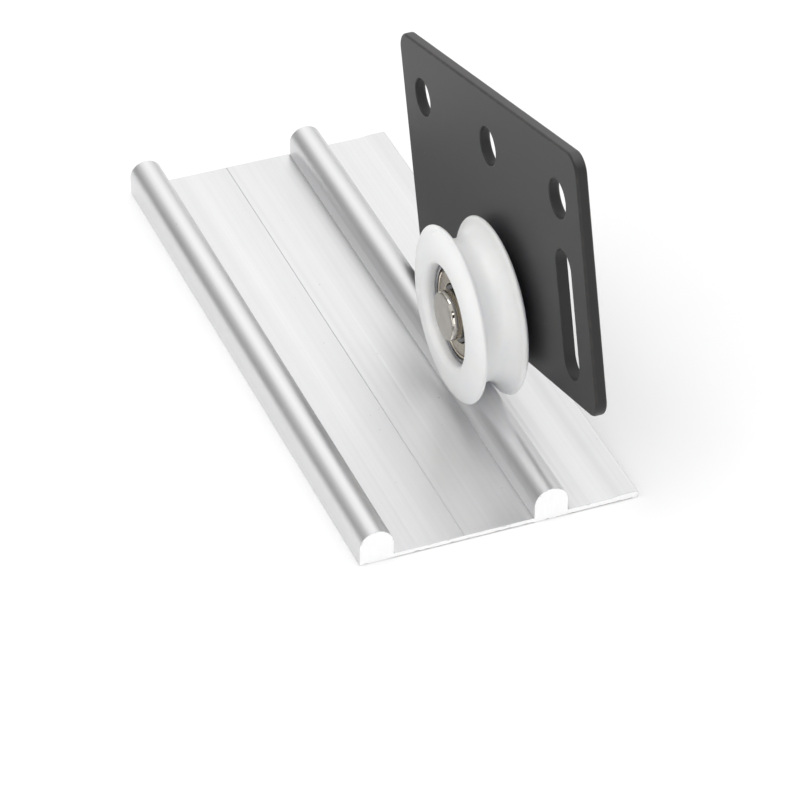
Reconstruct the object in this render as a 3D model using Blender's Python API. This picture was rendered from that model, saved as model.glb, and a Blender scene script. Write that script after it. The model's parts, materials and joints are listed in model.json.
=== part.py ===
"""Sliding door roller standing on a piece of its twin-rib aluminium track.

Frame: metres, +X along the track, +Y from the wheel towards the bracket plate, +Z up.
The origin is on the track's resting plane, under the axle, on the centreline of the running rib.
Dimensions below are in millimetres and are turned into metres where a mesh is made.
"""

import math

import bmesh
import bpy
from mathutils import Matrix, Vector

MM = 0.001

# Clearances between neighbours
GAP = 0.3
FINE_GAP = 0.1

# Track, an extrusion along X
TRACK_LENGTH = 140.0
TRACK_FAR_END = -97.2
TRACK_WIDTH = 60.0
TRACK_RIGHT_EDGE = 19.0
RIB_WIDTH = 7.26
RIB_TOP = 7.5
WEB_TOP = 1.1
WEB_UNDERSIDE = 0.1
FLANGE_TOP = 1.25
LIP_WIDTH = 1.3
BAND_WIDTH = 6.5
BAND_RISE = 0.3
SCRIBE_DEPTH = 0.3
TRACK_EDGE_ROUND = 0.3

# Wheel
GROOVE_ARC_RADIUS = 3.85
GROOVE_BOTTOM_RADIUS = 15.0
WHEEL_RADIUS = 18.75
WHEEL_HALF_WIDTH = 6.2
CREST_RADIUS = 0.8
FACE_EDGE_ROUND = (0.1, 0.2)
FACE_EDGE_RADIUS = 18.3
FACE_EDGE_HALF_WIDTH = 4.95
FACE_CROWN_POWER = 1.5
HUB_RADIUS = 12.3
LIP_RADIUS = 10.75
LIP_ROUND = 0.3
AXLE_HEIGHT = RIB_TOP + FINE_GAP + GROOVE_BOTTOM_RADIUS

# Deep-groove ball bearing, 8 x 22 x 7
BEARING_OUTER_RADIUS = 11.0
BEARING_BORE_RADIUS = 4.0
BEARING_HALF_WIDTH = 3.5
PITCH_RADIUS = 7.5
BALL_RADIUS = 1.984
BALL_COUNT = 7
RACE_RADIUS = BALL_RADIUS + FINE_GAP
INNER_SHOULDER_RADIUS = 6.05
OUTER_LAND_RADIUS = 9.0
SEAT_RADIUS = 10.0
SEAT_HALF_SPAN = 2.45
RING_CHAMFER = 0.3
SHIELD_BORE_RADIUS = 6.35
SHIELD_DISC_RADIUS = 9.0
SHIELD_RIM_RADIUS = 9.85
SHIELD_FACE = 3.3
SHIELD_RIM_FACE = 2.85
SHEET = 0.3
SNAP_RING_RADIUS = 9.45
SNAP_WIRE_RADIUS = 0.24
SNAP_RING_OPENING = math.radians(26.0)
FRONT_OPENING_AT = math.radians(-44.0)
REAR_OPENING_AT = math.radians(130.0)
CAGE_INNER_RADIUS = 6.9
CAGE_OUTER_RADIUS = 8.1
CAGE_SHEET = 0.35

# Rivet and spacer
HEAD_RADIUS = 5.25
HEAD_FACE = -6.2
HEAD_ROUND = 0.3
SHANK_RADIUS = BEARING_BORE_RADIUS - FINE_GAP
NECK_RADIUS = 3.0
TAIL_RADIUS = 4.6
TAIL_HEIGHT = 1.3
TAIL_CROWN = ((0.0, 0.45), (0.5, 0.85), (1.6, 1.0))  # inset from the tail's radius, share of its height
BUSH_RADIUS = 5.8
BUSH_CHAMFER = 0.3

# Bracket plate, measured from the axle while the plate hangs level
PLATE_MIDDLE = -0.8
PLATE_HALF_WIDTH = 47.7
PLATE_BOTTOM = -9.7
PLATE_TOP = 45.6
PLATE_FRONT = 7.2
PLATE_THICKNESS = 2.5
PLATE_CORNER_RADIUS = 4.0
PLATE_EDGE_ROUND = 0.6
HOLE_RADIUS = 4.1
HOLE_HEIGHT = 33.7
HOLE_SPACING = 36.4
SLOT_CENTRE_HEIGHT = 9.2
SLOT_LENGTH = 27.7
SLOT_WIDTH = 7.7
REST_TILT = math.radians(-15.3)

TYRE_SEGMENTS = 48
RING_SEGMENTS = 36
SMALL_SEGMENTS = 32


def clear_scene():
    for obj in list(bpy.data.objects):
        bpy.data.objects.remove(obj, do_unlink=True)


def material(name, colour, roughness, metallic):
    made = bpy.data.materials.new(name)
    made.use_nodes = True
    shader = made.node_tree.nodes["Principled BSDF"]
    shader.inputs["Base Color"].default_value = (*colour, 1.0)
    shader.inputs["Roughness"].default_value = roughness
    shader.inputs["Metallic"].default_value = metallic
    return made


def arc(centre, radius, start, end, steps):
    """Points on a circle, from the start angle to the end angle in degrees, both included."""
    points = []
    for i in range(steps + 1):
        angle = math.radians(start + (end - start) * i / steps)
        points.append((centre[0] + radius * math.cos(angle), centre[1] + radius * math.sin(angle)))
    return points


def finish(name, mesh_data, finish_material, parent, sharp_degrees=35.0):
    """One named object from a bmesh, with faces out, smooth shading and its material."""
    bmesh.ops.recalc_face_normals(mesh_data, faces=mesh_data.faces)
    mesh = bpy.data.meshes.new(name)
    mesh_data.to_mesh(mesh)
    mesh_data.free()
    mesh.shade_smooth()
    mesh.set_sharp_from_angle(angle=math.radians(sharp_degrees))
    mesh.materials.append(finish_material)
    obj = bpy.data.objects.new(name, mesh)
    bpy.context.scene.collection.objects.link(obj)
    obj.parent = parent
    return obj


def empty(name, location, parent=None):
    obj = bpy.data.objects.new(name, None)
    obj.location = location
    obj.parent = parent
    bpy.context.scene.collection.objects.link(obj)
    return obj


def turned(name, outline, segments, finish_material, parent):
    """A ring or disc turned about the axle: outline points are (radius, y) in mm, in a closed loop."""
    shape = bmesh.new()
    rows = []
    for radius, along in outline:
        if radius < 1e-6:
            rows.append([shape.verts.new((0.0, along * MM, 0.0))])
            continue
        row = []
        for i in range(segments):
            angle = 2.0 * math.pi * i / segments
            place = (radius * math.sin(angle) * MM, along * MM, radius * math.cos(angle) * MM)
            row.append(shape.verts.new(place))
        rows.append(row)
    for first, second in zip(rows, rows[1:] + rows[:1]):
        for i in range(segments):
            j = (i + 1) % segments
            corners = [first[i % len(first)], first[j % len(first)]]
            corners += [second[j % len(second)], second[i % len(second)]]
            corners = list(dict.fromkeys(corners))
            if len(corners) > 2:
                shape.faces.new(corners)
    return finish(name, shape, finish_material, parent)


def mirrored(outline):
    """The same outline with y reversed."""
    return [(radius, -along) for radius, along in outline]


def track_outline():
    """The extrusion's section as (y, z), clockwise from the left bottom edge."""
    left = TRACK_RIGHT_EDGE - TRACK_WIDTH
    half_rib = RIB_WIDTH / 2.0
    shoulder = RIB_TOP - half_rib
    rail_centres = (left + half_rib, 0.0)
    scribe = sum(rail_centres) / 2.0
    band = TRACK_RIGHT_EDGE - BAND_WIDTH
    lip = TRACK_RIGHT_EDGE - LIP_WIDTH
    band_top = FLANGE_TOP + BAND_RISE
    points = [(left, 0.0)]
    points += arc((rail_centres[0], shoulder), half_rib, 180.0, 0.0, 14)
    points += [(left + RIB_WIDTH, WEB_TOP)]
    points += [(scribe - SCRIBE_DEPTH, WEB_TOP), (scribe, WEB_TOP - SCRIBE_DEPTH)]
    points += [(scribe + SCRIBE_DEPTH, WEB_TOP), (-half_rib, WEB_TOP)]
    points += arc((rail_centres[1], shoulder), half_rib, 180.0, 0.0, 14)
    points += [(half_rib, FLANGE_TOP), (band, FLANGE_TOP), (band + BAND_RISE, band_top)]
    edge_centre = (TRACK_RIGHT_EDGE - TRACK_EDGE_ROUND, band_top - TRACK_EDGE_ROUND)
    points += arc(edge_centre, TRACK_EDGE_ROUND, 90.0, 0.0, 3)
    points += [(TRACK_RIGHT_EDGE, 0.0), (lip, 0.0), (lip, WEB_UNDERSIDE)]
    points += [(half_rib, WEB_UNDERSIDE), (half_rib, 0.0), (-half_rib, 0.0)]
    points += [(-half_rib, WEB_UNDERSIDE), (left + RIB_WIDTH, WEB_UNDERSIDE), (left + RIB_WIDTH, 0.0)]
    return points


def build_track(aluminium):
    shape = bmesh.new()
    section = [shape.verts.new((TRACK_FAR_END * MM, y * MM, z * MM)) for y, z in track_outline()]
    face = shape.faces.new(section)
    swept = bmesh.ops.extrude_face_region(shape, geom=[face], use_keep_orig=True)
    moved = [v for v in swept["geom"] if isinstance(v, bmesh.types.BMVert)]
    bmesh.ops.translate(shape, verts=moved, vec=(TRACK_LENGTH * MM, 0.0, 0.0))
    finish("track_rail", shape, aluminium, None)


def tyre_side():
    """Half of the tyre's section from the groove's bottom out over the rim to the bore, at +y."""
    groove_centre = GROOVE_BOTTOM_RADIUS + GROOVE_ARC_RADIUS
    crest_centre = WHEEL_RADIUS - CREST_RADIUS
    reach = GROOVE_ARC_RADIUS + CREST_RADIUS
    lift = crest_centre - groove_centre
    crest_y = math.sqrt(reach**2 - lift**2)
    meet = math.degrees(math.atan2(crest_y, -lift))
    points = []
    for radius, along in arc((groove_centre, 0.0), GROOVE_ARC_RADIUS, 180.0, 180.0 - meet, 6):
        points.append((radius, along))
    start = math.degrees(math.atan2(-crest_y, -lift))
    for radius, along in arc((crest_centre, crest_y), CREST_RADIUS, start, 0.0, 3)[1:]:
        points.append((radius, along))
    points.append((WHEEL_RADIUS - FACE_EDGE_ROUND[0], FACE_EDGE_HALF_WIDTH - FACE_EDGE_ROUND[1]))
    fall = WHEEL_HALF_WIDTH - FACE_EDGE_HALF_WIDTH
    for i in range(6):
        share = 1.0 - i / 5
        radius = HUB_RADIUS + (FACE_EDGE_RADIUS - HUB_RADIUS) * share
        points.append((radius, WHEEL_HALF_WIDTH - fall * share**FACE_CROWN_POWER))
    points += [(LIP_RADIUS + LIP_ROUND, WHEEL_HALF_WIDTH), (LIP_RADIUS, WHEEL_HALF_WIDTH - LIP_ROUND)]
    bearing_face = BEARING_HALF_WIDTH + FINE_GAP
    points += [(LIP_RADIUS, bearing_face), (BEARING_OUTER_RADIUS + FINE_GAP, bearing_face)]
    return points


def build_tyre(nylon, parent):
    near = tyre_side()
    outline = near + mirrored(near)[:0:-1]
    turned("wheel_tyre", outline, TYRE_SEGMENTS, nylon, parent)


def race_half(land_radius, facing):
    """Half a ball race, from the middle of the raceway to the land: facing is 1 for the outer ring."""
    reach = abs(land_radius - PITCH_RADIUS)
    stop = math.degrees(math.acos(reach / RACE_RADIUS))
    points = []
    for i in range(4):
        turn = math.radians(stop * i / 3)
        radius = PITCH_RADIUS + facing * RACE_RADIUS * math.cos(turn)
        points.append((radius, RACE_RADIUS * math.sin(turn)))
    return points


def build_outer_ring(steel, parent):
    half = race_half(OUTER_LAND_RADIUS, 1)
    half += [(OUTER_LAND_RADIUS, SEAT_HALF_SPAN), (SEAT_RADIUS, SEAT_HALF_SPAN)]
    half += [(SEAT_RADIUS, BEARING_HALF_WIDTH)]
    half += [(BEARING_OUTER_RADIUS - RING_CHAMFER, BEARING_HALF_WIDTH)]
    half += [(BEARING_OUTER_RADIUS, BEARING_HALF_WIDTH - RING_CHAMFER)]
    outline = half + mirrored(half)[:0:-1]
    turned("bearing_outer_ring", outline, RING_SEGMENTS, steel, parent)


def build_inner_ring(steel, parent):
    half = race_half(INNER_SHOULDER_RADIUS, -1)
    half += [(INNER_SHOULDER_RADIUS, BEARING_HALF_WIDTH - RING_CHAMFER / 2.0)]
    half += [(INNER_SHOULDER_RADIUS - RING_CHAMFER / 2.0, BEARING_HALF_WIDTH)]
    half += [(BEARING_BORE_RADIUS + RING_CHAMFER, BEARING_HALF_WIDTH)]
    half += [(BEARING_BORE_RADIUS, BEARING_HALF_WIDTH - RING_CHAMFER)]
    outline = half + mirrored(half)[:0:-1]
    turned("bearing_inner_ring", outline, RING_SEGMENTS, steel, parent)


def shield_outline():
    """Pressed shield: a flat disc near the bearing's face, and a rim set back into its seat."""
    step = SHEET * 0.5
    back = SHIELD_FACE - SHEET
    rim_back = SHIELD_RIM_FACE - SHEET
    return [
        (SHIELD_BORE_RADIUS, back),
        (SHIELD_BORE_RADIUS, SHIELD_FACE),
        (SHIELD_DISC_RADIUS - step, SHIELD_FACE),
        (SHIELD_DISC_RADIUS, SHIELD_FACE - step),
        (SHIELD_DISC_RADIUS, SHIELD_RIM_FACE),
        (SHIELD_RIM_RADIUS, SHIELD_RIM_FACE),
        (SHIELD_RIM_RADIUS, rim_back),
        (SHIELD_DISC_RADIUS - SHEET, rim_back),
        (SHIELD_DISC_RADIUS - SHEET, back),
    ]


def build_shields(tin, parent):
    turned("rear_shield", shield_outline(), RING_SEGMENTS, tin, parent)
    turned("front_shield", mirrored(shield_outline()), RING_SEGMENTS, tin, parent)


def build_snap_ring(name, along, opening_at, wire, parent):
    """An open ring of round wire, lying on the shield's rim."""
    shape = bmesh.new()
    steps, sides = 34, 7
    span = 2.0 * math.pi - SNAP_RING_OPENING
    loops = []
    for i in range(steps + 1):
        angle = opening_at + SNAP_RING_OPENING / 2.0 + span * i / steps
        loop = []
        for k in range(sides):
            turn = 2.0 * math.pi * k / sides
            radius = SNAP_RING_RADIUS + SNAP_WIRE_RADIUS * math.cos(turn)
            y = along + SNAP_WIRE_RADIUS * math.sin(turn)
            place = (radius * math.sin(angle) * MM, y * MM, radius * math.cos(angle) * MM)
            loop.append(shape.verts.new(place))
        loops.append(loop)
    for first, second in zip(loops, loops[1:]):
        for k in range(sides):
            n = (k + 1) % sides
            shape.faces.new((first[k], first[n], second[n], second[k]))
    shape.faces.new(loops[0])
    shape.faces.new(loops[-1])
    finish(name, shape, wire, parent)


def cage_section():
    """One pocket of the pressed cage: pairs of (tangential place, height), on its inside and outside."""
    inner_arc = RACE_RADIUS
    outer_arc = RACE_RADIUS + CAGE_SHEET
    flat_inner = FINE_GAP / 2.0
    flat_outer = flat_inner + CAGE_SHEET
    inner_stop = math.acos(flat_inner / inner_arc)
    outer_stop = math.acos(flat_outer / outer_arc)
    pairs = []
    steps = 8
    for i in range(steps + 1):
        part = -1.0 + 2.0 * i / steps
        inner_turn = part * inner_stop
        outer_turn = part * outer_stop
        inner_point = (inner_arc * math.sin(inner_turn), inner_arc * math.cos(inner_turn))
        outer_point = (outer_arc * math.sin(outer_turn), outer_arc * math.cos(outer_turn))
        pairs.append((inner_point, outer_point))
    return pairs


def build_cage_half(name, side, steel, parent):
    """A wavy pressed ribbon round the balls: side is -1 for the front half and 1 for the rear."""
    shape = bmesh.new()
    sections = []
    for ball in range(BALL_COUNT):
        centre = 2.0 * math.pi * ball / BALL_COUNT
        for inner_point, outer_point in cage_section():
            section = []
            for radius, point in (
                (CAGE_INNER_RADIUS, inner_point),
                (CAGE_OUTER_RADIUS, inner_point),
                (CAGE_OUTER_RADIUS, outer_point),
                (CAGE_INNER_RADIUS, outer_point),
            ):
                angle = centre + point[0] / PITCH_RADIUS
                y = side * point[1]
                place = (radius * math.sin(angle) * MM, y * MM, radius * math.cos(angle) * MM)
                section.append(shape.verts.new(place))
            sections.append(section)
    for first, second in zip(sections, sections[1:] + sections[:1]):
        for k in range(4):
            n = (k + 1) % 4
            shape.faces.new((first[k], first[n], second[n], second[k]))
    finish(name, shape, steel, parent)


def build_balls(steel, parents):
    for ball, parent in enumerate(parents):
        shape = bmesh.new()
        bmesh.ops.create_uvsphere(shape, u_segments=16, v_segments=10, radius=BALL_RADIUS * MM)
        finish(f"ball_{ball + 1}", shape, steel, parent, 80.0)


def build_rivet(nickel, parent):
    """Head in front of the bearing, shank through it, neck through the plate and a peened tail."""
    head_back = -BEARING_HALF_WIDTH - FINE_GAP
    shank_end = PLATE_FRONT - FINE_GAP
    plate_back = PLATE_FRONT + PLATE_THICKNESS
    tail_start = plate_back + GAP
    outline = [(0.0, HEAD_FACE)]
    for radius, along in arc((HEAD_RADIUS - HEAD_ROUND, HEAD_FACE + HEAD_ROUND), HEAD_ROUND, -90.0, 0.0, 3):
        outline.append((radius, along))
    outline += [(HEAD_RADIUS, head_back), (SHANK_RADIUS, head_back), (SHANK_RADIUS, shank_end)]
    outline += [(NECK_RADIUS, shank_end), (NECK_RADIUS, tail_start), (TAIL_RADIUS, tail_start)]
    outline += [(TAIL_RADIUS - inset, tail_start + TAIL_HEIGHT * share) for inset, share in TAIL_CROWN]
    outline += [(0.0, tail_start + TAIL_HEIGHT)]
    turned("axle_rivet", outline, SMALL_SEGMENTS, nickel, parent)


def build_bush(steel, parent):
    start = BEARING_HALF_WIDTH + FINE_GAP
    end = PLATE_FRONT - GAP
    bore = SHANK_RADIUS + FINE_GAP
    rim = BUSH_RADIUS - BUSH_CHAMFER
    outline = [(bore, start), (rim, start), (BUSH_RADIUS, start + BUSH_CHAMFER)]
    outline += [(BUSH_RADIUS, end - BUSH_CHAMFER), (rim, end), (bore, end)]
    turned("spacer_bush", outline, SMALL_SEGMENTS, steel, parent)


def rounded_rectangle():
    """The plate's outline as (x, z) about the axle, anticlockwise."""
    left = PLATE_MIDDLE - PLATE_HALF_WIDTH + PLATE_CORNER_RADIUS
    right = PLATE_MIDDLE + PLATE_HALF_WIDTH - PLATE_CORNER_RADIUS
    low = PLATE_BOTTOM + PLATE_CORNER_RADIUS
    high = PLATE_TOP - PLATE_CORNER_RADIUS
    points = []
    for x, z, start in ((right, low, -90), (right, high, 0), (left, high, 90), (left, low, 180)):
        points += arc((x, z), PLATE_CORNER_RADIUS, start, start + 90.0, 8)
    return points


def slot_outline():
    half = SLOT_LENGTH / 2.0 - SLOT_WIDTH / 2.0
    middle = PLATE_MIDDLE + HOLE_SPACING
    top = arc((middle, SLOT_CENTRE_HEIGHT + half), SLOT_WIDTH / 2.0, 0.0, 180.0, 10)
    bottom = arc((middle, SLOT_CENTRE_HEIGHT - half), SLOT_WIDTH / 2.0, 180.0, 360.0, 10)
    return top + bottom


def hole_outline(x, z, radius, steps):
    return arc((x, z), radius, 0.0, 360.0, steps)[:-1]


def on_outline(x, z):
    """Whether a point about the axle is on the plate's outer edge."""
    beyond_x = max(0.0, abs(x - PLATE_MIDDLE) - (PLATE_HALF_WIDTH - PLATE_CORNER_RADIUS))
    beyond_z = max(0.0, z - (PLATE_TOP - PLATE_CORNER_RADIUS), PLATE_BOTTOM + PLATE_CORNER_RADIUS - z)
    return math.hypot(beyond_x, beyond_z) > 0.9 * PLATE_CORNER_RADIUS


def build_plate(black_steel, parent):
    """A sheet blank with its openings, given its thickness and a rounded outer edge."""
    loops = [rounded_rectangle(), slot_outline()]
    for x in (-HOLE_SPACING, 0.0, HOLE_SPACING):
        loops.append(hole_outline(PLATE_MIDDLE + x, HOLE_HEIGHT, HOLE_RADIUS, 24))
    loops.append(hole_outline(0.0, 0.0, NECK_RADIUS + FINE_GAP, SMALL_SEGMENTS))
    shape = bmesh.new()
    edges = []
    for loop in loops:
        verts = [shape.verts.new((x * MM, PLATE_FRONT * MM, z * MM)) for x, z in loop]
        for first, second in zip(verts, verts[1:] + verts[:1]):
            edges.append(shape.edges.new((first, second)))
    bmesh.ops.triangle_fill(shape, use_beauty=True, use_dissolve=False, edges=edges)
    blank = list(shape.faces)
    swept = bmesh.ops.extrude_face_region(shape, geom=blank, use_keep_orig=True)
    moved = [v for v in swept["geom"] if isinstance(v, bmesh.types.BMVert)]
    bmesh.ops.translate(shape, verts=moved, vec=(0.0, PLATE_THICKNESS * MM, 0.0))
    bmesh.ops.recalc_face_normals(shape, faces=shape.faces)
    rims = []
    for edge in shape.edges:
        middle = (edge.verts[0].co + edge.verts[1].co) / 2.0 / MM
        across = len(edge.link_faces) == 2 and edge.calc_face_angle() > math.radians(60.0)
        if across and on_outline(middle.x, middle.z):
            rims.append(edge)
    bmesh.ops.bevel(
        shape, geom=rims, offset=PLATE_EDGE_ROUND * MM, segments=2, profile=0.5, affect="EDGES"
    )
    finish("mounting_plate", shape, black_steel, parent, 40.0)


def main():
    clear_scene()
    aluminium = material("anodised_aluminium", (0.80, 0.80, 0.80), 0.32, 1.0)
    black_steel = material("black_painted_steel", (0.06, 0.06, 0.06), 0.45, 0.0)
    nylon = material("white_nylon", (0.86, 0.87, 0.88), 0.35, 0.0)
    nickel = material("nickel_plated_steel", (0.75, 0.72, 0.68), 0.18, 1.0)
    race_steel = material("bearing_steel", (0.45, 0.45, 0.46), 0.25, 1.0)
    shield_tin = material("shield_sheet", (0.62, 0.58, 0.52), 0.35, 1.0)
    wire = material("snap_ring_wire", (0.78, 0.74, 0.68), 0.25, 1.0)
    zinc = material("zinc_plated_steel", (0.62, 0.62, 0.60), 0.35, 1.0)

    build_track(aluminium)

    axle = empty("axle_centre", (0.0, 0.0, AXLE_HEIGHT * MM))
    build_rivet(nickel, axle)
    build_bush(zinc, axle)
    build_inner_ring(race_steel, axle)

    wheel = empty("wheel_centre", (0.0, 0.0, 0.0), axle)
    build_tyre(nylon, wheel)
    build_outer_ring(race_steel, wheel)
    build_shields(shield_tin, wheel)
    wire_seat = SHIELD_RIM_FACE + FINE_GAP + SNAP_WIRE_RADIUS
    build_snap_ring("front_snap_ring", -wire_seat, FRONT_OPENING_AT, wire, wheel)
    build_snap_ring("rear_snap_ring", wire_seat, REAR_OPENING_AT, wire, wheel)

    cage = empty("cage_centre", (0.0, 0.0, 0.0), axle)
    build_cage_half("cage_front", -1, zinc, cage)
    build_cage_half("cage_rear", 1, zinc, cage)
    ball_centres = []
    for ball in range(BALL_COUNT):
        angle = 2.0 * math.pi * ball / BALL_COUNT
        place = Matrix.Rotation(angle, 4, "Y") @ Vector((0.0, 0.0, PITCH_RADIUS * MM))
        ball_centres.append(empty(f"ball_{ball + 1}_centre", place, cage))
    build_balls(race_steel, ball_centres)

    bracket = empty("bracket_pivot", (0.0, 0.0, 0.0), axle)
    bracket.rotation_euler = (0.0, REST_TILT, 0.0)
    build_plate(black_steel, bracket)


main()
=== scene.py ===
# Looks of the sliding door roller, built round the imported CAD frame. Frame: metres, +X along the
# track, +Y from the wheel to the bracket plate, +Z up. Shape constants are in millimetres and degrees.

import json
import math
import random

import bmesh
import bpy
from mathutils import Matrix, Vector


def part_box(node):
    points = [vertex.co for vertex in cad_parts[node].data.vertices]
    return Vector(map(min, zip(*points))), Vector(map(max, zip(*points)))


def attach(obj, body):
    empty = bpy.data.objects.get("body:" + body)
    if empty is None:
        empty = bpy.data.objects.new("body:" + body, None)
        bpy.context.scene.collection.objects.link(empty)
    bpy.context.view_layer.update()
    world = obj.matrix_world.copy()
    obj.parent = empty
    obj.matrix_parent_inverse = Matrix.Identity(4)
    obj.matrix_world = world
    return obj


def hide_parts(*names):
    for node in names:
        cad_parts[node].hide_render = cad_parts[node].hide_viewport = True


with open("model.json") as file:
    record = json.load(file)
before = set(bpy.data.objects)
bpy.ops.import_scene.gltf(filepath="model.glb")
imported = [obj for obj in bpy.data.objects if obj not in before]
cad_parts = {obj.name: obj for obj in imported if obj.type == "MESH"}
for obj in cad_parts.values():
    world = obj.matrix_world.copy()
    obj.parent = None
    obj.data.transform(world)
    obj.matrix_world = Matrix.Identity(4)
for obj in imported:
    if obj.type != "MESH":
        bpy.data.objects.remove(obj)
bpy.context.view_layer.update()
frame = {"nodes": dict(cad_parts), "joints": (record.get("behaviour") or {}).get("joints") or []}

MM = 0.001

# Track section
RIB_WIDTH = 7.26
WEB_TOP = 1.1
WEB_UNDERSIDE = 0.1
FLANGE_TOP = 1.25
LIP_WIDTH = 1.3
BOTTOM_CHAMFER = 0.15
RIB_STEPS = 40

# The flange's raised band: its width from the edge, its height, and the soft ramp up to it
BAND_WIDTH = 6.5
BAND_RISE = 0.3
BAND_RAMP = 3.4
BAND_STEPS = 10
EDGE_ROUND = 0.3

# Lines along the track as (depth, width to one side): the scribed line and the grooves at the ribs' feet
SCRIBE = (0.08, 0.09)
FOOT_GROOVE = (0.14, 0.32)
# Faint lines left by the extrusion die as (y, depth)
DIE_LINES = (
    (-28.6, 0.02), (-25.1, 0.012), (-12.9, 0.02), (-9.2, 0.012), (6.1, 0.02), (9.4, 0.01),
)
DIE_LINE_HALF_WIDTH = 0.16

# Sawn ends: a chamfer torn inwards by up to the rag, mostly by far less
SECTION_STEP = 0.6
SAW_CHAMFER = 0.06
SAW_RAG = 0.32
SAW_RAG_POWER = 9
SAW_SEED = 7

# Wheel
GROOVE_ARC_RADIUS = 3.85
GROOVE_BOTTOM_RADIUS = 15.0
CREST_RADIUS = 0.8
FACE_CROWN_POWER = 1.25
LIP_RADIUS = 10.75
LIP_ROUND = 1.4
TYRE_BORE_RADIUS = 11.1
BEARING_FACE = 3.6
# The moulding gate: a dimple in the front face
GATE_RADIUS = 17.6
GATE_ANGLE = -23.5
GATE_REACH = 0.55
GATE_SINK = 0.4

# Bearing
BORE_RADIUS = 4.0
PITCH_RADIUS = 7.5
RACE_RADIUS = 2.084
INNER_SHOULDER = 6.05
OUTER_LAND = 9.0
SEAT_RADIUS = 10.0
SEAT_HALF_SPAN = 2.45
SEAT_CHAMFER = 0.1
RING_CHAMFER = 0.3
SHOULDER_ROUND = 0.15
RACE_STEPS = 12

# Shields and the snap rings that hold them
SHIELD_BORE = 6.35
SHIELD_DISC = 9.0
SHIELD_STEP = 0.45
SHIELD_BORE_ROUND = 0.1
SHIELD_DISC_ROUND = 0.2
SHEET = 0.3
SNAP_OPENING = 26.0
SNAP_END_BEND = 0.16
SNAP_BEND_ANGLE = 9.0
SNAP_DOME_ANGLE = 1.5
SNAP_END_SHARE = 0.25
SNAP_STEPS = 180
SNAP_SIDES = 16
FRONT_OPENING_AT = -44.0
REAR_OPENING_AT = 130.0

# Rivet and bush
HEAD_BACK = -3.6
HEAD_FACE_RING = 1.4
HEAD_ROUND = 0.12
HEAD_TAPER = (0.3, 1.1)
HEAD_TAPER_POWER = 1.6
HEAD_TAPER_STEPS = 6
SHANK_RADIUS = 3.9
SHANK_END = 7.1
NECK_RADIUS = 3.0
TAIL_RADIUS = 4.6
TAIL_START = 10.0
TAIL_CHAMFER = 0.15
TAIL_DOME = 1.5
# The punch's print in the tail, as (radius, depth)
TAIL_PRINT = ((2.6, 0.0), (2.2, 0.06), (1.5, 0.22), (0.8, 0.3), (0.0, 0.32))
BUSH_BORE = 4.0
BUSH_ROUND = 0.3

# Plate, about the axle while it hangs level
PLATE_MIDDLE = -0.8
PLATE_HALF_WIDTH = 47.7
PLATE_BOTTOM = -9.7
PLATE_TOP = 45.6
PLATE_CORNER = 4.0
# Rounding of the edges at the front and at the back
PLATE_EDGE_ROUNDS = (0.6, 0.6)
SLOT_EDGE_ROUNDS = (0.15, 0.15)
HOLE_EDGE_ROUNDS = (0.3, 0.8)
HOLE_RADIUS = 4.1
HOLE_HEIGHT = 33.7
HOLE_SPACING = 36.4
SLOT_CENTRE_HEIGHT = 9.2
SLOT_LENGTH = 27.7
SLOT_WIDTH = 7.7
NECK_BORE = 3.1

TYRE_SEGMENTS = 192
RING_SEGMENTS = 128
SHARP_EDGE = 60.0

# Camera: its angle, and its place from the track's near left bottom corner
CAMERA_AZIMUTH = 68.463
CAMERA_ELEVATION = 37.065
CAMERA_REACH = (633.3, -241.4, 552.9)
CAMERA_LENS = 199.55

# Light, in metres and watts: name, place, point aimed at, size, power
LAMPS = (
    ("overhead", (-0.1, -0.35, 1.6), (0.0, 0.0, 0.0), (1.1, 1.1), 7.7),
    ("far_softbox", (-0.86, 0.2, 0.52), (-0.1, 0.0, 0.0), (0.5, 0.6), 0.14),
    ("near_softbox", (1.15, -0.5, 0.33), (0.0, 0.0, 0.02), (0.9, 0.6), 2.95),
)
DARK_SIDE = (-0.74, -0.62, 0.25)
DARK_BEHIND_CAMERA = (0.742, -0.293, 0.603)
GLOW_OPPOSITE_CAMERA = (-0.742, 0.293, 0.603)
FLOOR_RADIUS = 6.0
FLOOR_DROP = 0.02

rail_low, rail_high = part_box("track_rail")
tyre_low, tyre_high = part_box("wheel_tyre")
AXLE = Vector((0.0, 0.0, (tyre_low.z + tyre_high.z) / 2.0))


# ---------------------------------------------------------------- materials


def fill(tree, socket, value):
    """Gives a socket a link or a plain value."""
    if isinstance(value, bpy.types.NodeSocket):
        tree.links.new(value, socket)
    elif hasattr(socket.default_value, "__len__") and len(socket.default_value) == 4 and len(value) == 3:
        socket.default_value = (*value, 1.0)
    else:
        socket.default_value = value


def node(tree, kind, output, settings=None, **inputs):
    """Adds a node, fills its inputs by name (underscores stand for spaces) and returns one output."""
    made = tree.nodes.new(kind)
    for key, value in (settings or {}).items():
        setattr(made, key, value)
    for key, value in inputs.items():
        fill(tree, made.inputs[key.replace("_", " ")], value)
    return made.outputs[output]


def noise(tree, vector, scale, detail=2.0, roughness=0.5):
    return node(
        tree, "ShaderNodeTexNoise", "Fac", Vector=vector, Scale=scale, Detail=detail, Roughness=roughness
    )


def stretched(tree, vector, scale):
    return node(tree, "ShaderNodeMapping", "Vector", Vector=vector, Scale=scale)


def remap(tree, value, low, high, to_low, to_high, smooth=False):
    made = tree.nodes.new("ShaderNodeMapRange")
    made.interpolation_type = "SMOOTHSTEP" if smooth else "LINEAR"
    for socket, given in zip(made.inputs, (value, low, high, to_low, to_high)):
        fill(tree, socket, given)
    return made.outputs["Result"]


def mix(tree, factor, first, second):
    return node(tree, "ShaderNodeMixRGB", "Color", Fac=factor, Color1=first, Color2=second)


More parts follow.
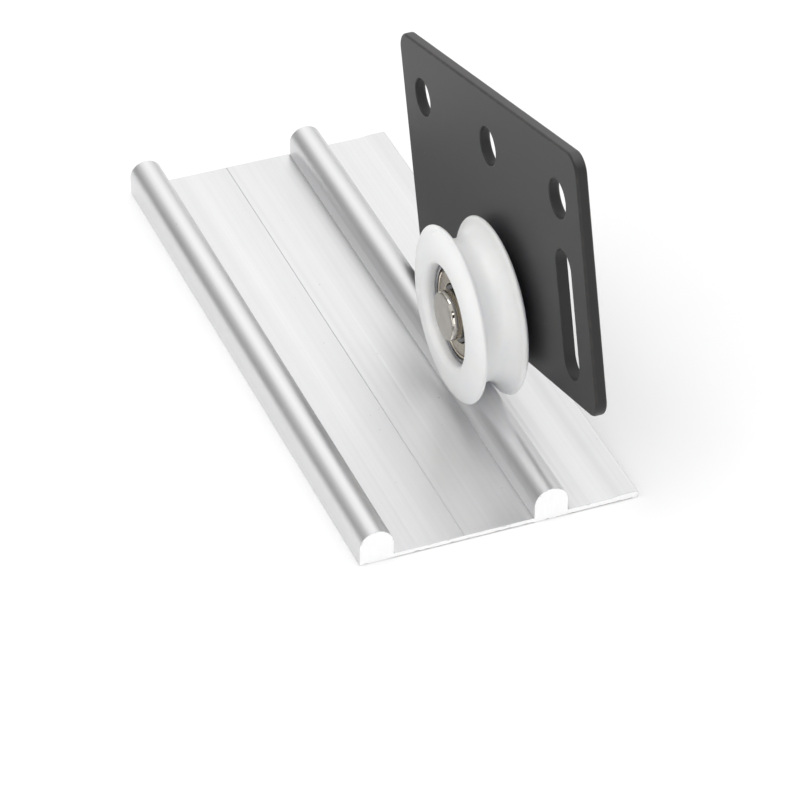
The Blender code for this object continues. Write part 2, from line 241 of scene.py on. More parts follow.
def maths(tree, operation, first, second=0.0):
    made = tree.nodes.new("ShaderNodeMath")
    made.operation = operation
    fill(tree, made.inputs[0], first)
    fill(tree, made.inputs[1], second)
    return made.outputs[0]


def bump(tree, height, distance, strength=1.0):
    return node(tree, "ShaderNodeBump", "Normal", Height=height, Distance=distance, Strength=strength)


def axes(tree, vector):
    """The X, Y and Z outputs of a vector."""
    split = tree.nodes.new("ShaderNodeSeparateXYZ")
    fill(tree, split.inputs[0], vector)
    return split.outputs


def closeness(tree, vector, direction):
    """Cosine of the angle between a unit vector and a fixed direction."""
    made = tree.nodes.new("ShaderNodeVectorMath")
    made.operation = "DOT_PRODUCT"
    fill(tree, made.inputs[0], vector)
    made.inputs[1].default_value = Vector(direction).normalized()
    return made.outputs["Value"]


def new_look(name, **inputs):
    """A material with its Principled shader, node tree and object coordinates."""
    made = bpy.data.materials.new(name)
    made.use_nodes = True
    tree = made.node_tree
    shader = tree.nodes["Principled BSDF"]
    for key, value in inputs.items():
        fill(tree, shader.inputs[key.replace("_", " ")], value)
    place = node(tree, "ShaderNodeTexCoord", "Object")
    return made, tree, shader, place


def rim_distance(tree, place):
    """Distance from the axle, for pieces whose origin is on it."""
    along = axes(tree, place)
    squares = [maths(tree, "POWER", along[axis], 2.0) for axis in "XZ"]
    return maths(tree, "SQRT", maths(tree, "ADD", *squares))


def ring_lines(tree, place, scale):
    """Turning marks: noise that changes only with the distance from the axle."""
    return node(
        tree, "ShaderNodeTexNoise", "Fac", {"noise_dimensions": "1D"},
        W=rim_distance(tree, place), Scale=scale, Detail=2.0,
    )


def anodised_aluminium():
    """Satin extrusion: fine and broad streaks along the track, small pits and a light grain."""
    made, tree, shader, place = new_look("anodised_aluminium", Metallic=1.0)
    fine = noise(tree, stretched(tree, place, (5.0, 1500.0, 1500.0)), 1.0, 3.0, 0.6)
    broad = noise(tree, stretched(tree, place, (3.0, 130.0, 130.0)), 1.0, 2.0)
    cloud = noise(tree, place, 45.0, 3.0)
    tone = mix(tree, remap(tree, broad, 0.3, 0.7, 0.0, 1.0), (0.72, 0.72, 0.726), (0.79, 0.79, 0.794))
    tone = mix(tree, remap(tree, fine, 0.35, 0.75, 0.0, 0.22), tone, (0.62, 0.62, 0.63))
    pits = remap(tree, noise(tree, place, 1300.0, 1.0), 0.79, 0.83, 0.0, 0.5)
    tone = mix(tree, pits, tone, (0.35, 0.35, 0.36))
    fill(tree, shader.inputs["Base Color"], tone)
    streaks = remap(tree, fine, 0.3, 0.7, 0.36, 0.42)
    rough = maths(tree, "ADD", streaks, remap(tree, cloud, 0.3, 0.7, 0.0, 0.04))
    fill(tree, shader.inputs["Roughness"], rough)
    grain = noise(tree, place, 4200.0, 2.0)
    height = maths(tree, "ADD", fine, maths(tree, "MULTIPLY", grain, 0.35))
    fill(tree, shader.inputs["Normal"], bump(tree, height, 0.000012, 0.6))
    return made


def lit_sawn_aluminium():
    """Cut ends of bare metal with faint marks from the saw, painted near white: partly the bare metal's
    own brightness, partly a painted highlight for the light the ends catch.
    """
    made, tree, shader, place = new_look("lit_sawn_aluminium", Metallic=0.1, Roughness=0.5)
    marks = noise(tree, stretched(tree, place, (1.0, 2600.0, 260.0)), 1.0, 2.0)
    # Painted highlight: the near-white tone stands in for the light the cut ends catch, on top of bare
    # metal's own brightness.
    tone = mix(tree, remap(tree, marks, 0.3, 0.7, 0.0, 1.0), (0.97, 0.97, 0.97), (1.0, 1.0, 1.0))
    fill(tree, shader.inputs["Base Color"], tone)
    fill(tree, shader.inputs["Normal"], bump(tree, marks, 0.000006, 0.3))
    return made


def black_paint():
    """Satin powder coat: rubbed in patches on the rounded edges, with a painted highlight on the up-facing
    outer edge.
    """
    made, tree, shader, place = new_look("black_paint", Specular_IOR_Level=0.35)
    cloud = noise(tree, place, 60.0, 3.0)
    peel = noise(tree, place, 2100.0, 2.0)
    blend = remap(tree, cloud, 0.35, 0.65, 0.0, 1.0)
    tone = mix(tree, blend, (0.0205, 0.0203, 0.0206), (0.0215, 0.0213, 0.0216))
    rounded = node(tree, "ShaderNodeAttribute", "Fac", {"attribute_name": "rim"})
    patchy = remap(tree, noise(tree, place, 420.0, 4.0), 0.45, 0.75, 0.0, 1.0)
    rub = maths(tree, "MULTIPLY", rounded, patchy)
    tone = mix(tree, maths(tree, "MULTIPLY", rub, 0.6), tone, (0.05, 0.038, 0.032))
    dust = remap(tree, noise(tree, place, 900.0, 1.0), 0.80, 0.84, 0.0, 0.5)
    tone = mix(tree, dust, tone, (0.16, 0.16, 0.15))
    # Painted highlight: the up-facing outer edges are painted lighter, standing in for the sheen they
    # catch from above.
    facing = axes(tree, node(tree, "ShaderNodeTexCoord", "Normal"))
    outer = node(tree, "ShaderNodeAttribute", "Fac", {"attribute_name": "outer"})
    painted_top_sheen = maths(tree, "MULTIPLY", outer, remap(tree, facing["Z"], 0.6, 0.95, 0.0, 1.0))
    tone = mix(tree, painted_top_sheen, tone, (0.062, 0.059, 0.059))
    fill(tree, shader.inputs["Base Color"], tone)
    rough = remap(tree, cloud, 0.3, 0.7, 0.435, 0.442)
    rough = maths(tree, "SUBTRACT", rough, maths(tree, "MULTIPLY", rub, 0.1))
    fill(tree, shader.inputs["Roughness"], rough)
    fill(tree, shader.inputs["Normal"], bump(tree, peel, 0.000004, 0.15))
    return made


def white_nylon():
    """Moulded nylon that lets some light in, with cloudy tone, specks and turning marks."""
    made, tree, shader, place = new_look(
        "white_nylon", Subsurface_Weight=0.85, Subsurface_Radius=(1.0, 1.0, 1.15), Subsurface_Scale=0.004,
        Coat_Weight=0.12, Coat_Roughness=0.12,
    )
    cloud = noise(tree, place, 150.0, 3.0)
    tone = mix(tree, remap(tree, cloud, 0.3, 0.7, 0.0, 1.0), (0.90, 0.912, 0.93), (0.94, 0.95, 0.962))
    specks = remap(tree, noise(tree, place, 760.0, 1.0), 0.80, 0.83, 0.0, 0.35)
    tone = mix(tree, specks, tone, (0.55, 0.55, 0.56))
    fill(tree, shader.inputs["Base Color"], tone)
    fill(tree, shader.inputs["Roughness"], remap(tree, cloud, 0.3, 0.7, 0.3, 0.4))
    grain = noise(tree, place, 2600.0, 2.0)
    swirl = ring_lines(tree, place, 900.0)
    height = maths(tree, "ADD", maths(tree, "MULTIPLY", grain, 0.5), swirl)
    fill(tree, shader.inputs["Normal"], bump(tree, height, 0.000008, 0.4))
    return made


def turned_metal(name, dark, light, rough_low, rough_high, line_scale, line_height):
    """Metal with fine circular marks: two tones, a roughness range, the marks' scale and height."""
    made, tree, shader, place = new_look(name, Metallic=1.0)
    lines = ring_lines(tree, place, line_scale)
    cloud = noise(tree, place, 500.0, 3.0)
    share = maths(tree, "MULTIPLY", maths(tree, "ADD", lines, cloud), 0.5)
    tone = mix(tree, remap(tree, share, 0.35, 0.65, 0.0, 1.0), dark, light)
    fill(tree, shader.inputs["Base Color"], tone)
    fill(tree, shader.inputs["Roughness"], remap(tree, cloud, 0.3, 0.7, rough_low, rough_high))
    fill(tree, shader.inputs["Normal"], bump(tree, lines, line_height, 0.5))
    return made


def nickel_plate():
    """The rivet: a satin pressed face, and a polished side with the long ripples of a headed blank."""
    made, tree, shader, place = new_look("nickel_plate", Metallic=1.0)
    cloud = noise(tree, place, 420.0, 3.0)
    tone = mix(tree, remap(tree, cloud, 0.35, 0.65, 0.0, 1.0), (0.47, 0.445, 0.40), (0.56, 0.53, 0.485))
    fill(tree, shader.inputs["Base Color"], tone)
    facing = axes(tree, node(tree, "ShaderNodeTexCoord", "Normal"))
    end_on = remap(tree, maths(tree, "ABSOLUTE", facing["Y"]), 0.3, 0.9, 0.0, 1.0)
    satin = remap(tree, cloud, 0.3, 0.7, 0.2, 0.27)
    fill(tree, shader.inputs["Roughness"], remap(tree, end_on, 0.0, 1.0, 0.05, satin))
    ripples = noise(tree, stretched(tree, place, (520.0, 0.0, 520.0)), 1.0, 1.0)
    height = mix(tree, end_on, ripples, ring_lines(tree, place, 2600.0))
    reach = remap(tree, end_on, 0.0, 1.0, 1.0, 0.02)
    height = maths(tree, "MULTIPLY", height, reach)
    fill(tree, shader.inputs["Normal"], bump(tree, height, 0.0005, 1.0))
    return made


def plain_metal(name, dark, light, rough_low, rough_high, scale):
    """Metal with cloudy tone and roughness, for balls, cage and wire."""
    made, tree, shader, place = new_look(name, Metallic=1.0)
    cloud = noise(tree, place, scale, 3.0)
    tone = mix(tree, remap(tree, cloud, 0.35, 0.65, 0.0, 1.0), dark, light)
    fill(tree, shader.inputs["Base Color"], tone)
    fill(tree, shader.inputs["Roughness"], remap(tree, cloud, 0.3, 0.7, rough_low, rough_high))
    fill(tree, shader.inputs["Normal"], bump(tree, noise(tree, place, scale * 5.0), 0.000004, 0.4))
    return made


def floor_look():
    """Pale paper floor; it lets a view from below through."""
    made, tree, shader, place = new_look("pale_floor", Roughness=0.9, Specular_IOR_Level=0.0)
    tone = mix(tree, noise(tree, place, 40.0), (0.95, 0.95, 0.95), (0.97, 0.97, 0.97))
    fill(tree, shader.inputs["Base Color"], tone)
    clear = tree.nodes.new("ShaderNodeBsdfTransparent").outputs[0]
    behind = node(tree, "ShaderNodeNewGeometry", "Backfacing")
    choose = tree.nodes.new("ShaderNodeMixShader")
    for socket, given in zip(choose.inputs, (behind, shader.outputs[0], clear)):
        tree.links.new(given, socket)
    tree.links.new(choose.outputs[0], tree.nodes["Material Output"].inputs["Surface"])
    return made


# ---------------------------------------------------------------- mesh helpers


def arc(centre, radius, start, end, steps):
    """Points on a circle from the start angle to the end angle, in degrees."""
    turns = [math.radians(start + (end - start) * i / steps) for i in range(steps + 1)]
    return [(centre[0] + radius * math.cos(t), centre[1] + radius * math.sin(t)) for t in turns]


def mirrored(outline):
    return [(radius, -along) for radius, along in outline]


def piece(name, shape, looks, body, cad_node, at=(0.0, 0.0, 0.0), sharp=32.0):
    """A named piece from a bmesh that rides on a body and stands for a CAD node."""
    bmesh.ops.recalc_face_normals(shape, faces=shape.faces)
    mesh = bpy.data.meshes.new(name)
    shape.to_mesh(mesh)
    shape.free()
    mesh.shade_smooth()
    mesh.set_sharp_from_angle(angle=math.radians(sharp))
    for look in looks:
        mesh.materials.append(look)
    made = bpy.data.objects.new(name, mesh)
    made.location = at
    bpy.context.scene.collection.objects.link(made)
    level = made.modifiers.new("level_normals", "WEIGHTED_NORMAL")
    level.keep_sharp = True
    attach(made, body)
    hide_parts(cad_node)


def lathe(outline, segments):
    """A bmesh turned about the axle from a closed loop of (radius, y) in mm."""
    shape = bmesh.new()
    rows = []
    for radius, along in outline:
        count = segments if radius > 1e-6 else 1
        row = []
        for i in range(count):
            angle = 2.0 * math.pi * i / segments
            place = Vector((radius * math.sin(angle), along, radius * math.cos(angle))) * MM
            row.append(shape.verts.new(place))
        rows.append(row)
    for first, second in zip(rows, rows[1:] + rows[:1]):
        for i in range(segments):
            j = (i + 1) % segments
            corners = [first[i % len(first)], first[j % len(first)]]
            corners += [second[j % len(second)], second[i % len(second)]]
            corners = list(dict.fromkeys(corners))
            if len(corners) > 2:
                shape.faces.new(corners)
    return shape


def bridge(shape, loops):
    """Faces between each closed loop of vertices and the next."""
    for first, second in zip(loops, loops[1:]):
        for k in range(len(first)):
            n = (k + 1) % len(first)
            shape.faces.new((first[k], first[n], second[n], second[k]))


# ---------------------------------------------------------------- track


def track_section():
    """The extrusion's outline as (y, z) in mm, clockwise from the left bottom edge."""
    left, right = rail_low.y / MM, rail_high.y / MM
    half = RIB_WIDTH / 2.0
    shoulder = rail_high.z / MM - half
    centres = (left + half, 0.0)
    scribe = sum(centres) / 2.0
    band_top = FLANGE_TOP + BAND_RISE
    groove_depth, groove_width = FOOT_GROOVE
    foot_left, foot_right = left + RIB_WIDTH, half
    points = [(left + BOTTOM_CHAMFER, 0.0), (left, BOTTOM_CHAMFER)]
    points += arc((centres[0], shoulder), half, 180.0, 0.0, RIB_STEPS)
    points += [(foot_left, WEB_TOP - groove_depth), (foot_left + groove_width, WEB_TOP)]
    top_lines = [(y, depth, DIE_LINE_HALF_WIDTH) for y, depth in DIE_LINES] + [(scribe, *SCRIBE)]
    for y, depth, width in sorted(line for line in top_lines if line[0] < -half):
        points += [(y - width, WEB_TOP), (y, WEB_TOP - depth), (y + width, WEB_TOP)]
    points += [(-half - groove_width, WEB_TOP), (-half, WEB_TOP - groove_depth)]
    points += arc((centres[1], shoulder), half, 180.0, 0.0, RIB_STEPS)
    points += [(foot_right, FLANGE_TOP - groove_depth), (foot_right + groove_width, FLANGE_TOP)]
    for y, depth, width in sorted(line for line in top_lines if line[0] > half):
        points += [(y - width, FLANGE_TOP), (y, FLANGE_TOP - depth), (y + width, FLANGE_TOP)]
    band = right - BAND_WIDTH
    for i in range(BAND_STEPS + 1):
        share = i / BAND_STEPS
        rise = BAND_RISE * share * share * (3.0 - 2.0 * share)
        points.append((band + BAND_RAMP * share, FLANGE_TOP + rise))
    points += arc((right - EDGE_ROUND, band_top - EDGE_ROUND), EDGE_ROUND, 90.0, 0.0, 6)
    lip = right - LIP_WIDTH
    points += [(right, BOTTOM_CHAMFER), (right - BOTTOM_CHAMFER, 0.0), (lip, 0.0), (lip, WEB_UNDERSIDE)]
    points += [(half, WEB_UNDERSIDE), (half, 0.0), (-half, 0.0), (-half, WEB_UNDERSIDE)]
    points += [(foot_left, WEB_UNDERSIDE), (foot_left, 0.0)]
    return points


def even_steps(points, step):
    """The same closed outline with long straights divided."""
    out = []
    for first, second in zip(points, points[1:] + points[:1]):
        length = math.hypot(second[0] - first[0], second[1] - first[1])
        count = max(1, math.ceil(length / step))
        for i in range(count):
            share = i / count
            out.append(tuple(a + (b - a) * share for a, b in zip(first, second)))
    return out


def sawn_edge(points, rng):
    """The outline moved inwards, by an uneven amount where a saw has torn its edge."""
    out = []
    count = len(points)
    for i, (y, z) in enumerate(points):
        before, after = points[i - 1], points[(i + 1) % count]
        run = Vector((after[0] - before[0], after[1] - before[1]))
        inward = Vector((run.y, -run.x)).normalized()
        depth = SAW_CHAMFER + SAW_RAG * rng.random() ** SAW_RAG_POWER
        out.append((y + inward.x * depth, z + inward.y * depth))
    return out


def build_rail(skin, sawn):
    """The extrusion between two sawn ends, which carry their own material."""
    section = even_steps(track_section(), SECTION_STEP)
    rng = random.Random(SAW_SEED)
    far, near = rail_low.x / MM, rail_high.x / MM
    stations = [
        (far, sawn_edge(section, rng)), (far + SAW_CHAMFER, section),
        (near - SAW_CHAMFER, section), (near, sawn_edge(section, rng)),
    ]
    shape = bmesh.new()
    loops = [[shape.verts.new(Vector((x, y, z)) * MM) for y, z in points] for x, points in stations]
    bridge(shape, loops)
    for loop in (loops[0], loops[-1]):
        around = [shape.edges.get((first, second)) for first, second in zip(loop, loop[1:] + loop[:1])]
        filled = bmesh.ops.triangle_fill(shape, use_beauty=True, use_dissolve=False, edges=around)
        for face in filled["geom"]:
            if isinstance(face, bmesh.types.BMFace):
                face.material_index = 1
    piece("rail_extrusion", shape, (skin, sawn), "track", "track_rail", sharp=24.0)


# ---------------------------------------------------------------- wheel and bearing


def tyre_side():
    """Half of the tyre's section, from the groove's bottom over the rim to the bore."""
    outer = (tyre_high.z - tyre_low.z) / 2.0 / MM
    half_width = tyre_high.y / MM
    groove_centre = GROOVE_BOTTOM_RADIUS + GROOVE_ARC_RADIUS
    crest_centre = outer - CREST_RADIUS
    lift = crest_centre - groove_centre
    crest_y = math.sqrt((GROOVE_ARC_RADIUS + CREST_RADIUS) ** 2 - lift**2)
    meet = math.degrees(math.atan2(crest_y, -lift))
    points = arc((groove_centre, 0.0), GROOVE_ARC_RADIUS, 180.0, 180.0 - meet, 20)
    start = math.degrees(math.atan2(-crest_y, -lift))
    points += arc((crest_centre, crest_y), CREST_RADIUS, start, 0.0, 10)[1:]
    hub = LIP_RADIUS + LIP_ROUND
    for across, along in arc((0.0, 0.0), 1.0, 0.0, 90.0, 40)[1:-1]:
        rise = (half_width - crest_y) * along**FACE_CROWN_POWER
        points.append((hub + (outer - hub) * across, crest_y + rise))
    points += arc((hub, half_width - LIP_ROUND), LIP_ROUND, 90.0, 180.0, 14)
    points += [(LIP_RADIUS, BEARING_FACE), (TYRE_BORE_RADIUS, BEARING_FACE)]
    return points


def build_tyre(nylon):
    """The tyre, with the dimple of its moulding gate in the front face."""
    side = tyre_side()
    shape = lathe(side + mirrored(side)[:0:-1], TYRE_SEGMENTS)
    turn = math.radians(GATE_ANGLE)
    front = tyre_low.y / MM
    gate = Vector((GATE_RADIUS * math.sin(turn), front, GATE_RADIUS * math.cos(turn))) * MM
    for vert in shape.verts:
        share = math.hypot(vert.co.x - gate.x, vert.co.z - gate.z) / (GATE_REACH * MM)
        if vert.co.y < 0.0 and share < 1.0:
            vert.co.y += GATE_SINK * MM * (1.0 - share**2)
    piece("nylon_tyre", shape, (nylon,), "wheel", "wheel_tyre", at=AXLE, sharp=50.0)


def race_half(land_radius, facing):
    """Half a ball race from its middle to the land: facing is 1 for the outer ring."""
    stop = math.degrees(math.acos(abs(land_radius - PITCH_RADIUS) / RACE_RADIUS))
    turns = [math.radians(stop * i / RACE_STEPS) for i in range(RACE_STEPS + 1)]
    return [(PITCH_RADIUS + facing * RACE_RADIUS * math.cos(t), RACE_RADIUS * math.sin(t)) for t in turns]


def build_outer_ring(steel):
    low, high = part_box("bearing_outer_ring")
    outer, half_width = (high.z - low.z) / 2.0 / MM, high.y / MM
    side = race_half(OUTER_LAND, 1)
    side += [(OUTER_LAND, SEAT_HALF_SPAN), (SEAT_RADIUS, SEAT_HALF_SPAN)]
    side += [(SEAT_RADIUS, half_width - SEAT_CHAMFER), (SEAT_RADIUS + SEAT_CHAMFER, half_width)]
    corner = (outer - RING_CHAMFER, half_width - RING_CHAMFER)
    side += arc(corner, RING_CHAMFER, 90.0, 0.0, 6)
    shape = lathe(side + mirrored(side)[:0:-1], RING_SEGMENTS)
    piece("outer_race", shape, (steel,), "wheel", "bearing_outer_ring", at=AXLE)


def build_inner_ring(steel):
    half_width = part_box("bearing_inner_ring")[1].y / MM
    side = race_half(INNER_SHOULDER, -1)
    corner = (INNER_SHOULDER - SHOULDER_ROUND, half_width - SHOULDER_ROUND)
    side += arc(corner, SHOULDER_ROUND, 0.0, 90.0, 4)
    corner = (BORE_RADIUS + RING_CHAMFER, half_width - RING_CHAMFER)
    side += arc(corner, RING_CHAMFER, 90.0, 180.0, 6)
    shape = lathe(side + mirrored(side)[:0:-1], RING_SEGMENTS)
    piece("inner_race", shape, (steel,), "axle", "bearing_inner_ring", at=AXLE)


def shield_outline(face, rim):
    """Pressed sheet shield facing +y: a flat disc, a rounded step and a rim set back in its seat."""
    rim_face = face - SHIELD_STEP
    inner, outer = SHIELD_BORE_ROUND, SHIELD_DISC_ROUND
    points = arc((SHIELD_BORE + inner, face - inner), inner, 180.0, 90.0, 4)
    points += arc((SHIELD_DISC - outer, face - outer), outer, 90.0, 0.0, 6)
    points += [(SHIELD_DISC, rim_face), (rim, rim_face), (rim, rim_face - SHEET)]
    points += [(SHIELD_DISC - SHEET, rim_face - SHEET), (SHIELD_DISC - SHEET, face - SHEET)]
    points += [(SHIELD_BORE, face - SHEET)]
    return points


def build_shields(tin):
    low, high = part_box("rear_shield")
    outline = shield_outline(high.y / MM, (high.z - low.z) / 2.0 / MM)
    for name, facing in (("rear", outline), ("front", mirrored(outline))):
        shape = lathe(facing, RING_SEGMENTS)
        piece(f"{name}_shield_disc", shape, (tin,), "wheel", f"{name}_shield", at=AXLE)


def build_snap_ring(name, cad_node, opening_at, wire):
    """An open ring of round wire: its ends are domed and bent slightly inwards."""
    low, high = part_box(cad_node)
    along = (low.y + high.y) / 2.0 / MM
    wire_radius = (high.y - low.y) / 2.0 / MM
    ring = (high.z - low.z) / 2.0 / MM - wire_radius
    span = 360.0 - SNAP_OPENING
    shape = bmesh.new()
    loops = []
    for i in range(SNAP_STEPS + 1):
        travel = span * i / SNAP_STEPS
        to_end = min(travel, span - travel)
        angle = math.radians(opening_at + SNAP_OPENING / 2.0 + travel)
        bend = SNAP_END_BEND * max(0.0, 1.0 - to_end / SNAP_BEND_ANGLE) ** 2
        full = math.sqrt(1.0 - max(0.0, 1.0 - to_end / SNAP_DOME_ANGLE) ** 2)
        dome = SNAP_END_SHARE + (1.0 - SNAP_END_SHARE) * full
        loop = []
        for k in range(SNAP_SIDES):
            turn = 2.0 * math.pi * k / SNAP_SIDES
            radius = ring - bend + wire_radius * dome * math.cos(turn)
            y = along + wire_radius * dome * math.sin(turn)
            place = Vector((radius * math.sin(angle), y, radius * math.cos(angle))) * MM
            loop.append(shape.verts.new(place))
        loops.append(loop)
    bridge(shape, loops)
    shape.faces.new(loops[0])
    shape.faces.new(loops[-1])
    piece(name, shape, (wire,), "wheel", cad_node, at=AXLE, sharp=50.0)


# ---------------------------------------------------------------- rivet, bush and plate


def build_rivet(nickel):
    """Tapered head in front, shank through the bearing, neck through the plate, clenched tail."""
    low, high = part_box("axle_rivet")
    head, face, end = (high.x - low.x) / 2.0 / MM, low.y / MM, high.y / MM
    taper_in, taper_long = HEAD_TAPER
    top = head - taper_in
    flat = top - HEAD_ROUND
    outline = [(0.0, face), (flat - HEAD_FACE_RING, face), (flat, face)]
    outline += arc((flat, face + HEAD_ROUND), HEAD_ROUND, -80.0, -15.0, 5)
    for i in range(1, HEAD_TAPER_STEPS + 1):
        share = i / HEAD_TAPER_STEPS
        outline.append((head - taper_in * (1.0 - share) ** HEAD_TAPER_POWER, face + taper_long * share))
    outline += arc((head - HEAD_ROUND, HEAD_BACK - HEAD_ROUND), HEAD_ROUND, 0.0, 90.0, 3)
    outline += [(SHANK_RADIUS, HEAD_BACK), (SHANK_RADIUS, SHANK_END), (NECK_RADIUS, SHANK_END)]
    outline += [(NECK_RADIUS, TAIL_START), (TAIL_RADIUS - TAIL_CHAMFER, TAIL_START)]
    shoulder = TAIL_START + TAIL_CHAMFER
    for turn in [math.radians(10.0 * i) for i in range(9)]:
        radius = TAIL_RADIUS - TAIL_DOME * (1.0 - math.cos(turn))
        outline.append((radius, shoulder + (end - shoulder) * math.sin(turn)))
    outline += [(radius, end - depth) for radius, depth in TAIL_PRINT]
    shape = lathe(outline, RING_SEGMENTS)
    piece("rivet", shape, (nickel,), "axle", "axle_rivet", at=AXLE)


def build_bush(zinc):
    low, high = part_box("spacer_bush")
    start, end, radius = low.y / MM, high.y / MM, (high.x - low.x) / 2.0 / MM
    outline = [(BUSH_BORE, start), (BUSH_BORE, end)]
    outline += arc((radius - BUSH_ROUND, end - BUSH_ROUND), BUSH_ROUND, 90.0, 0.0, 5)
    outline += arc((radius - BUSH_ROUND, start + BUSH_ROUND), BUSH_ROUND, 0.0, -90.0, 5)
    shape = lathe(outline, RING_SEGMENTS)
    piece("bush_collar", shape, (zinc,), "axle", "spacer_bush", at=AXLE)


def plate_loops():
    """Closed loops of (x, z) in mm: the outline, the slot, the three holes and the neck's bore."""
    reach = PLATE_HALF_WIDTH - PLATE_CORNER
    left, right = PLATE_MIDDLE - reach, PLATE_MIDDLE + reach
    low, high = PLATE_BOTTOM + PLATE_CORNER, PLATE_TOP - PLATE_CORNER
    outline = []
    for x, z, start in ((right, low, -90), (right, high, 0), (left, high, 90), (left, low, 180)):
        outline += arc((x, z), PLATE_CORNER, start, start + 90.0, 16)
    end_round = SLOT_WIDTH / 2.0
    half = SLOT_LENGTH / 2.0 - end_round
    near = PLATE_MIDDLE + HOLE_SPACING
    slot = arc((near, SLOT_CENTRE_HEIGHT + half), end_round, 0.0, 180.0, 28)
    slot += arc((near, SLOT_CENTRE_HEIGHT - half), end_round, 180.0, 360.0, 28)
    hole_places = (PLATE_MIDDLE - HOLE_SPACING, PLATE_MIDDLE, near)
    holes = [arc((x, HOLE_HEIGHT), HOLE_RADIUS, 0.0, 360.0, 56)[:-1] for x in hole_places]
    bore = arc((0.0, 0.0), NECK_BORE, 0.0, 360.0, 48)[:-1]
    return [outline, slot, *holes, bore]


def point_rank(part, count):
    """A number that no other edge or face has, from the lowest three of its points."""
    rank = 0
    for index in sorted(vert.index for vert in part.verts)[:3]:
        rank = rank * count + index
    return rank


def settle_order(shape):
    """Edges and faces in the order of their points, because an extrusion makes them in no fixed order."""
    shape.verts.index_update()
    count = len(shape.verts)
    shape.edges.sort(key=lambda edge: point_rank(edge, count))
    shape.faces.sort(key=lambda face: point_rank(face, count))


def build_plate(paint):
    """The plate, tilted as at rest, with "rim" and "outer" marking its rounded and outer edges."""
    low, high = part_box("mounting_plate")
    front, thickness = low.y, high.y - low.y
    tilt_joint = next(joint for joint in frame["joints"] if joint["name"] == "bracket_tilt")
    level_at = sum(tilt_joint["range_deg"]) / 2.0
    shape = bmesh.new()
    edges = []
    loop_number = shape.verts.layers.int.new("loop_number")
    for number, loop in enumerate(plate_loops()):
        verts = [shape.verts.new((x * MM, front, z * MM)) for x, z in loop]
        for vert in verts:
            vert[loop_number] = number
        for first, second in zip(verts, verts[1:] + verts[:1]):
            edges.append(shape.edges.new((first, second)))
    bmesh.ops.triangle_fill(shape, use_beauty=True, use_dissolve=False, edges=edges)
    swept = bmesh.ops.extrude_face_region(shape, geom=list(shape.faces), use_keep_orig=True)
    moved = [v for v in swept["geom"] if isinstance(v, bmesh.types.BMVert)]
    bmesh.ops.translate(shape, verts=moved, vec=(0.0, thickness, 0.0))
    bmesh.ops.recalc_face_normals(shape, faces=shape.faces)
    # One rim for the front and one for the back of each loop. The neck's bore stays sharp.
    rounds = PLATE_EDGE_ROUNDS + SLOT_EDGE_ROUNDS + HOLE_EDGE_ROUNDS * 3
    rims = [[] for width in rounds]
    for edge in shape.edges:
        at_back = edge.verts[0].co.y > front + thickness / 2.0
        number = 2 * edge.verts[0][loop_number] + at_back
        if edge.calc_face_angle() > math.radians(SHARP_EDGE) and number < len(rims):
            rims[number].append(edge)
    rim_share = shape.verts.layers.float.new("rim")
    outer_share = shape.verts.layers.float.new("outer")
    for number, (rim, width) in enumerate(zip(rims, rounds)):
        made = bmesh.ops.bevel(shape, geom=rim, offset=width * MM, segments=5, profile=0.5, affect="EDGES")
        rounded = set(made["faces"])
        for vert in {vert for face in rounded for vert in face.verts}:
            vert[outer_share] = float(number < len(PLATE_EDGE_ROUNDS))
            if rounded.issuperset(vert.link_faces):
                vert[rim_share] = 1.0
    bmesh.ops.rotate(
        shape, verts=shape.verts, cent=(0.0, 0.0, 0.0),
        matrix=Matrix.Rotation(math.radians(-level_at), 3, "Y"),
    )
    settle_order(shape)
    piece("bracket_plate", shape, (paint,), "bracket", "mounting_plate", at=AXLE, sharp=50.0)


# ---------------------------------------------------------------- stage, light and camera


def build_floor():
    """A round floor, just below the track so that their faces don't fight."""
    shape = bmesh.new()
    bmesh.ops.create_circle(shape, cap_ends=True, segments=96, radius=FLOOR_RADIUS)
    mesh = bpy.data.meshes.new("floor")
    shape.to_mesh(mesh)
    shape.free()
    mesh.materials.append(floor_look())
    floor = bpy.data.objects.new("floor", mesh)
    floor.location.z = -FLOOR_DROP * MM
    bpy.context.scene.collection.objects.link(floor)


def area_light(name, place, target, size, power):
    data = bpy.data.lights.new(name, "AREA")
    data.shape = "RECTANGLE"
    data.size, data.size_y = size
    data.energy = power
    lamp = bpy.data.objects.new(name, data)
    lamp.location = place
    lamp.rotation_mode = "QUATERNION"
    lamp.rotation_quaternion = (Vector(target) - Vector(place)).to_track_quat("-Z", "Y")
    bpy.context.scene.collection.objects.link(lamp)


def build_world():
    """A white tent that greys towards the horizon.

    It is darker far left and behind the camera, and brighter opposite the camera.
    """
    world = bpy.data.worlds.new("studio_tent")
    bpy.context.scene.world = world
    world.use_nodes = True
    tree = world.node_tree
    direction = node(tree, "ShaderNodeTexCoord", "Generated")
    level = remap(tree, axes(tree, direction)["Z"], 0.0, 0.5, 0.36, 0.92, smooth=True)
    side = remap(tree, closeness(tree, direction, DARK_SIDE), 0.80, 0.97, 1.0, 0.45, smooth=True)
    behind = closeness(tree, direction, DARK_BEHIND_CAMERA)
    behind = remap(tree, behind, 0.94, 0.975, 1.0, 0.05, smooth=True)
    glow = closeness(tree, direction, GLOW_OPPOSITE_CAMERA)
    glow = remap(tree, glow, 0.70, 0.97, 0.0, 0.19, smooth=True)
    shade = maths(tree, "MULTIPLY", side, behind)
    strength = maths(tree, "ADD", maths(tree, "MULTIPLY", level, shade), glow)
    background = tree.nodes["Background"]
    background.inputs["Color"].default_value = (1.0, 1.0, 1.0, 1.0)
    fill(tree, background.inputs["Strength"], strength)


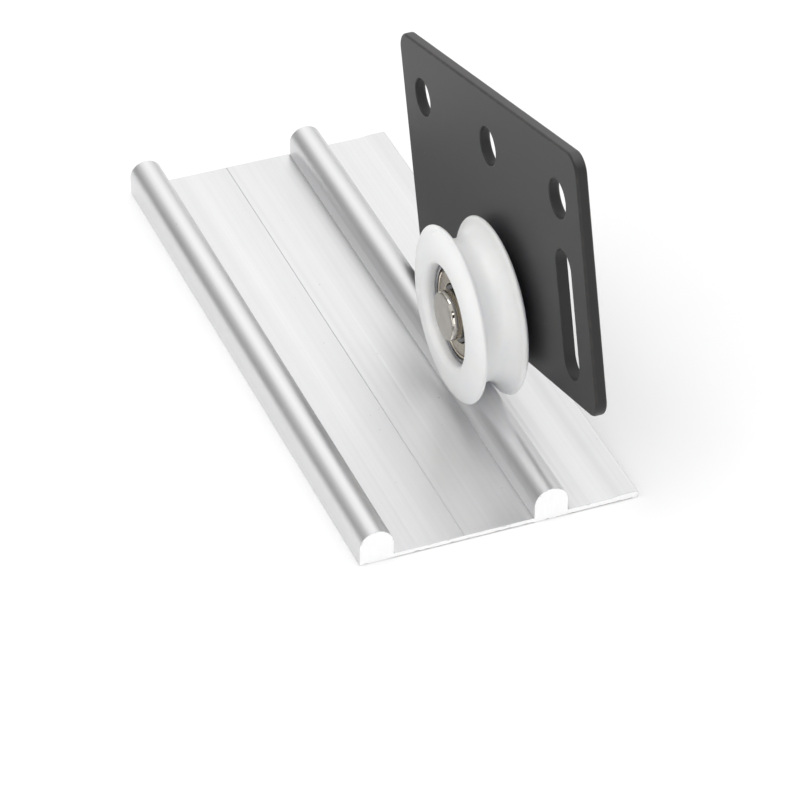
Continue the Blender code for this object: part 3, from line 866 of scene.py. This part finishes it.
def build_camera():
    """A camera whose back axis points up from the object at the given azimuth and elevation."""
    azimuth, elevation = math.radians(CAMERA_AZIMUTH), math.radians(CAMERA_ELEVATION)
    level = math.cos(elevation)
    back = Vector((math.sin(azimuth) * level, -math.cos(azimuth) * level, math.sin(elevation)))
    right = Vector((math.cos(azimuth), math.sin(azimuth), 0.0))
    data = bpy.data.cameras.new("camera")
    data.lens = CAMERA_LENS
    data.clip_start, data.clip_end = 0.01, 20.0
    camera = bpy.data.objects.new("camera", data)
    bpy.context.scene.collection.objects.link(camera)
    placed = Matrix((right, back.cross(right), back)).transposed().to_4x4()
    placed.translation = Vector((rail_high.x, rail_low.y, 0.0)) + Vector(CAMERA_REACH) * MM
    camera.matrix_world = placed
    bpy.context.scene.camera = camera


def main():
    bpy.context.scene.view_settings.view_transform = "Standard"
    build_rail(anodised_aluminium(), lit_sawn_aluminium())
    build_tyre(white_nylon())
    steel = turned_metal(
        "ground_steel", (0.30, 0.30, 0.31), (0.48, 0.48, 0.49), 0.2, 0.3, 5200.0, 0.000006
    )
    # Painted shade: the inner ring is the outer ring's steel painted much darker, standing in for the
    # shade in the gap behind the rivet head.
    painted_shade_steel = turned_metal(
        "painted_shade_steel", (0.07, 0.07, 0.072), (0.13, 0.13, 0.13), 0.2, 0.3, 5200.0, 0.000006
    )
    tin = turned_metal(
        "shield_sheet", (0.40, 0.355, 0.29), (0.52, 0.475, 0.40), 0.24, 0.34, 3800.0, 0.000004
    )
    zinc = turned_metal(
        "zinc_plate", (0.52, 0.52, 0.50), (0.66, 0.66, 0.64), 0.26, 0.38, 3000.0, 0.00001
    )
    build_outer_ring(steel)
    build_inner_ring(painted_shade_steel)
    build_shields(tin)
    wire = plain_metal("drawn_wire", (0.62, 0.56, 0.47), (0.80, 0.74, 0.65), 0.14, 0.24, 900.0)
    build_snap_ring("front_wire_ring", "front_snap_ring", FRONT_OPENING_AT, wire)
    build_snap_ring("rear_wire_ring", "rear_snap_ring", REAR_OPENING_AT, wire)
    build_rivet(nickel_plate())
    build_bush(zinc)
    build_plate(black_paint())

    ball_steel = plain_metal("ball_steel", (0.46, 0.46, 0.47), (0.56, 0.56, 0.57), 0.06, 0.12, 700.0)
    cage_steel = plain_metal("cage_steel", (0.42, 0.41, 0.38), (0.58, 0.57, 0.54), 0.3, 0.42, 1100.0)
    for name, cad_node in frame["nodes"].items():
        if name.startswith(("ball_", "cage_")):
            cad_node.data.materials.clear()
            cad_node.data.materials.append(ball_steel if name.startswith("ball_") else cage_steel)

    build_floor()
    build_world()
    for lamp in LAMPS:
        area_light(*lamp)
    build_camera()


main()
